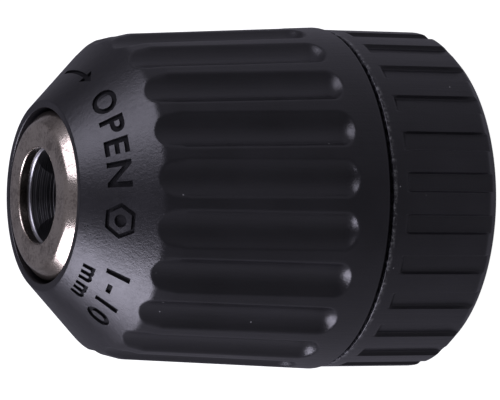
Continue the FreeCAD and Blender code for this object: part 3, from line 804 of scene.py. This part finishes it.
# The nose ring: pressed sheet with a bevelled front edge, and a flange behind that holds the sleeve on.
ringFit = {
    "hole": 5.15,
    "sheet": 1.05,
    "skirt": 0.96,
    "radius": widest("nose_ring") - 1.44,
    "flange": widest("nose_ring"),
    "flangeThickness": 0.9,
    "rear": lowest("nose_ring"),
    "front": highest("nose_ring"),
    "bevel": 1.45,
    "edge": 1.0,
    "holeEdge": 0.22,
    "backEdge": 0.08,
    "flangeEdge": 0.15,
    "flangeRoot": 0.2,
    "innerChamfer": 0.4,
}


def ringOutline(fit):
    back = fit["front"] - fit["sheet"]
    flangeFront = fit["rear"] + fit["flangeThickness"]
    inner = fit["radius"] - fit["skirt"]
    return rounded([
        (fit["hole"], back, fit["backEdge"]),
        (fit["hole"], fit["front"], fit["holeEdge"]),
        (fit["radius"] - fit["bevel"], fit["front"], fit["edge"]),
        (fit["radius"], fit["front"] - fit["bevel"], fit["edge"]),
        (fit["radius"], flangeFront, fit["flangeRoot"]),
        (fit["flange"], flangeFront, fit["flangeEdge"]),
        (fit["flange"], fit["rear"], fit["flangeEdge"]),
        (inner, fit["rear"], fit["flangeEdge"]),
        (inner, back - fit["innerChamfer"]),
        (inner - fit["innerChamfer"], back),
    ], 9.0)


evenColumns = [-0.5, -0.25, 0.0, 0.25, 0.5]
noseRing = turnedPiece("noseRing", ringOutline(ringFit), "polishedSteel", 36, evenColumns)
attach(noseRing, "chuck_body")
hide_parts("nose_ring")
print("stage: nose ring,", len(noseRing.data.polygons), "faces")


# The thread in the spindle socket, 3/8 inch with 24 turns to the inch; the ridge is sunk a little into the
# socket's wall.
threadFit = {
    "major": 4.7625,
    "pitch": 25.4 / 24,
    "ridge": 0.52,
    "sunk": 0.1,
    "rear": 0.75,
    "front": 13.4,
    "around": 72,
}


def threadTree():
    # Geometry Nodes: a ridge of three sides swept along a spiral.
    tree = bpy.data.node_groups.new("threadRidge", "GeometryNodeTree")
    tree.is_modifier = True
    for name, kind in (("Geometry", "NodeSocketGeometry"), ("Radius", "NodeSocketFloat"),
                       ("Length", "NodeSocketFloat"), ("Turns", "NodeSocketFloat"),
                       ("Around", "NodeSocketInt"), ("Ridge", "NodeSocketFloat"),
                       ("Material", "NodeSocketMaterial")):
        tree.interface.new_socket(name, in_out="INPUT", socket_type=kind)
    tree.interface.new_socket("Geometry", in_out="OUTPUT", socket_type="NodeSocketGeometry")
    given = tree.nodes.new("NodeGroupInput").outputs
    result = tree.nodes.new("NodeGroupOutput").inputs
    spiral = addNode(tree, "GeometryNodeCurveSpiral",
                     [("Resolution", given["Around"]), ("Rotations", given["Turns"]),
                      ("Start Radius", given["Radius"]), ("End Radius", given["Radius"]),
                      ("Height", given["Length"])])
    upright = addNode(tree, "GeometryNodeSetCurveNormal", [("Curve", spiral.outputs[0])])
    upright.mode = "Z_UP"
    ridge = addNode(tree, "GeometryNodeCurvePrimitiveCircle", [("Radius", given["Ridge"])])
    ridge.inputs["Resolution"].default_value = 3
    swept = addNode(tree, "GeometryNodeCurveToMesh",
                    [("Curve", upright.outputs[0]), ("Profile Curve", ridge.outputs[0])])
    swept.inputs["Fill Caps"].default_value = True
    painted = addNode(tree, "GeometryNodeSetMaterial",
                      [("Geometry", swept.outputs[0]), ("Material", given["Material"])])
    tree.links.new(painted.outputs[0], result["Geometry"])
    return tree


def spindleThread(fit):
    length = fit["front"] - fit["rear"]
    piece = bpy.data.objects.new("spindleThread", bpy.data.meshes.new("spindleThread"))
    bpy.context.scene.collection.objects.link(piece)
    applyTree(piece, threadTree(), {"Radius": (fit["major"] - fit["sunk"]) * mm, "Length": length * mm,
                                    "Turns": length / fit["pitch"], "Around": fit["around"],
                                    "Ridge": fit["ridge"] * mm, "Material": materials["machinedSteel"]})
    piece.data.transform(Matrix.Translation((0, 0, fit["rear"] * mm)))
    return piece


spindle = spindleThread(threadFit)
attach(spindle, "chuck_body")
print("stage: spindle thread,", len(spindle.data.polygons), "faces")


# Finishes of the parts that keep their own shape.
slotLooks = {
    "machined_steel": "machinedSteel",
    "hardened_steel": "hardenedSteel",
    "plated_steel": "platedSteel",
    "bearing_steel": "bearingSteel",
    "cage_brass": "cageBrass",
    "polished_steel": "polishedSteel",
    "black_plastic": "blackPlastic",
}
for entry in frame["record"]["subparts"]:
    node = nodes[entry["node"]]
    node.data.materials.clear()
    node.data.materials.append(materials[slotLooks[entry["material_slot"]]])
print("stage: finishes set")


# Floor, light and camera. The room is plain but for lighter sides, and the boards are where X times Y of a
# direction lies within boardFrom.
stageSetup = {
    "floorSize": 6.0,
    "floorDrop": 0.0002,
    "floorColour": (0.20, 0.20, 0.20),
    "floorGlow": 1.0,
    "lightColour": (0.85, 0.82, 1.0),
    "worldFront": 0.215,
    "worldSides": 0.40,
    "sidesFrom": (0.3, 0.95),
    "boardShade": 0.6,
    "boardFrom": (-0.42, -0.22),
    "boardRise": (0.0, 0.25),
    "upper": {"direction": (0.17, 0.61, 0.77), "distance": 0.34, "size": (0.23, 0.20), "power": 0.55},
    "lower": {"direction": (-0.03, -0.73, 0.68), "distance": 0.34, "size": (0.23, 0.20), "power": 1.25},
}
middleSpot = Vector((0, 0, (cadLow.z + cadHigh.z) / 2))


def makeFloor(setup):
    mesh = bmesh.new()
    bmesh.ops.create_grid(mesh, x_segments=1, y_segments=1, size=setup["floorSize"] / 2)
    data = bpy.data.meshes.new("floor")
    mesh.to_mesh(data)
    mesh.free()
    data.transform(Matrix.Translation((0, 0, cadLow.z - setup["floorDrop"])))
    floor = bpy.data.objects.new("floor", data)
    bpy.context.scene.collection.objects.link(floor)
    material = newMaterial("paleFloor")[0]
    shader = material.node_tree.nodes["Principled BSDF"]
    shader.inputs["Base Color"].default_value = (*setup["floorColour"], 1.0)
    shader.inputs["Roughness"].default_value = 0.9
    shader.inputs["Emission Color"].default_value = (1.0, 1.0, 1.0, 1.0)
    shader.inputs["Emission Strength"].default_value = setup["floorGlow"]
    data.materials.append(material)
    floor.visible_glossy = False


def makeLight(name, light):
    data = bpy.data.lights.new(name, "AREA")
    data.shape = "RECTANGLE"
    data.size, data.size_y = light["size"]
    data.energy = light["power"]
    data.color = stageSetup["lightColour"]
    direction = Vector(light["direction"]).normalized()
    lamp = bpy.data.objects.new(name, data)
    lamp.location = middleSpot + direction * light["distance"]
    lamp.rotation_euler = direction.to_track_quat("Z", "Y").to_euler()
    bpy.context.scene.collection.objects.link(lamp)


cameraSetup = {
    "elevation": 26.2,
    "roll": 0.498,
    "distance": 360.0,
    "right": 1.897,
    "up": -0.290,
    "lens": 237.7,
    "sensor": 36.0,
    "clip": (0.01, 20.0),
}


def makeCamera(view):
    # Looks at the chuck's side, with its nose to the left and turned a little towards the camera. The
    # distance and the two shifts are in millimetres.
    lift = math.radians(view["elevation"])
    back = Vector((math.cos(lift), 0, math.sin(lift)))
    side = Vector((math.sin(lift), 0, -math.cos(lift)))
    above = back.cross(side)
    roll = math.radians(view["roll"])
    right = side * math.cos(roll) + above * math.sin(roll)
    up = above * math.cos(roll) - side * math.sin(roll)
    data = bpy.data.cameras.new("camera")
    data.lens = view["lens"]
    data.sensor_width = view["sensor"]
    data.clip_start, data.clip_end = view["clip"]
    camera = bpy.data.objects.new("camera", data)
    spot = middleSpot + (back * view["distance"] + right * view["right"] + up * view["up"]) * mm
    camera.matrix_world = Matrix.Translation(spot) @ Matrix((right, up, back)).transposed().to_4x4()
    bpy.context.scene.collection.objects.link(camera)
    bpy.context.scene.camera = camera


def makeWorld(setup):
    # A soft room whose two side walls are lighter than its ends, with a dark board behind each side of
    # the nose.
    world = bpy.data.worlds.new("studio")
    world.use_nodes = True
    tree = world.node_tree
    background = tree.nodes["Background"]
    background.inputs["Color"].default_value = (*setup["lightColour"], 1.0)
    coords = tree.nodes.new("ShaderNodeTexCoord")
    parts = addNode(tree, "ShaderNodeSeparateXYZ", [("Vector", coords.outputs["Generated"])])
    absolute = addNode(tree, "ShaderNodeMath", [(0, parts.outputs["Y"])], operation="ABSOLUTE")
    sideways = absolute.outputs["Value"]
    strength = spread(tree, sideways, setup["worldFront"], setup["worldSides"], *setup["sidesFrom"])
    corner = paired(tree, parts.outputs["X"], sideways, "MULTIPLY")
    board = spread(tree, corner, setup["boardShade"], 0.0, *setup["boardFrom"])
    raised = spread(tree, parts.outputs["Z"], 0.0, 1.0, *setup["boardRise"])
    lit = spread(tree, paired(tree, board, raised, "MULTIPLY"), 1.0, 0.0)
    tree.links.new(paired(tree, strength, lit, "MULTIPLY"), background.inputs["Strength"])
    bpy.context.scene.world = world


makeFloor(stageSetup)
for lightName in ("upper", "lower"):
    makeLight(lightName + "Light", stageSetup[lightName])
makeCamera(cameraSetup)
makeWorld(stageSetup)
bpy.context.scene.view_settings.view_transform = "Standard"
print("stage: floor, light and camera ready")
